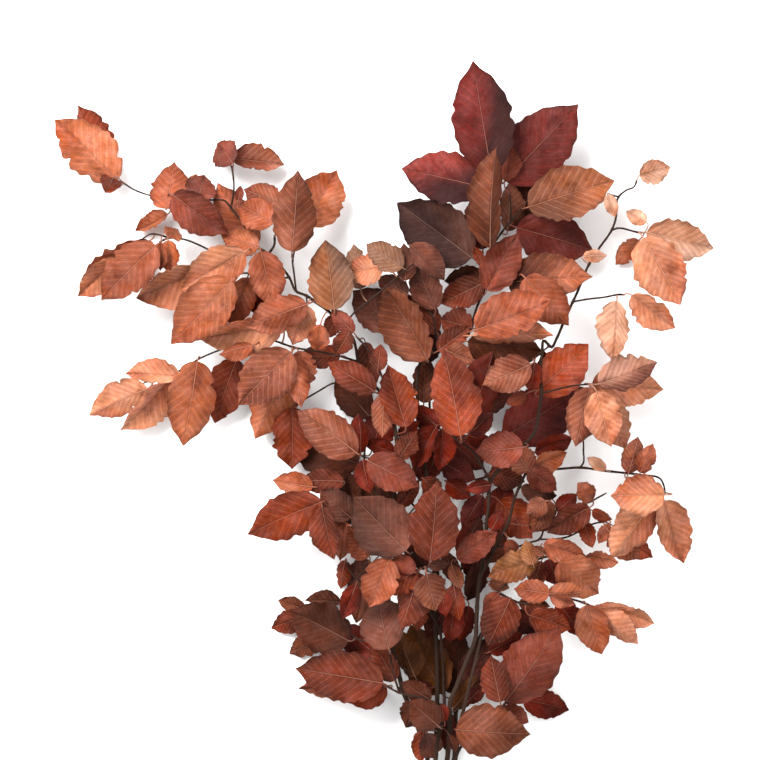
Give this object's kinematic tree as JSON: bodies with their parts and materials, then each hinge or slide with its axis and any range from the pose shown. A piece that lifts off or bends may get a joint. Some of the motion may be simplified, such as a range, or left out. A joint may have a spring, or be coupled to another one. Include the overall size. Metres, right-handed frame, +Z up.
{
  "type": "bunch of preserved beech branches in leaf",
  "caption": "Loose bunch of cut copper-coloured beech branches in leaf, lying flat, with forked twigs and oval, wavy, pleated leaves.",
  "frame": {"origin": "small flat spot under the main stem, 4 mm from its cut end, on the surface that the bunch lies on", "axes": "+Y along the stems from the cut ends to the leafy tops, +Z up from the surface, +X to the right seen from above"},
  "size_m": [0.5845, 0.7096, 0.1153],
  "materials": {
    "back_branch": "matte, dry, softly veined leaf on dark bark",
    "centre_branch": "matte, dry, softly veined leaf on dark bark",
    "left_branch": "matte, dry, softly veined leaf on dark bark",
    "right_branch": "matte, dry, softly veined leaf on dark bark",
    "low_right_branch": "matte, dry, softly veined leaf on dark bark",
    "low_left_branch": "matte, dry, softly veined leaf on dark bark"
  },
  "bodies": {
    "root": {"back_branch": "back_branch", "centre_branch": "centre_branch", "left_branch": "left_branch", "right_branch": "right_branch", "low_right_branch": "low_right_branch", "low_left_branch": "low_left_branch"}
  },
  "joints": []
}
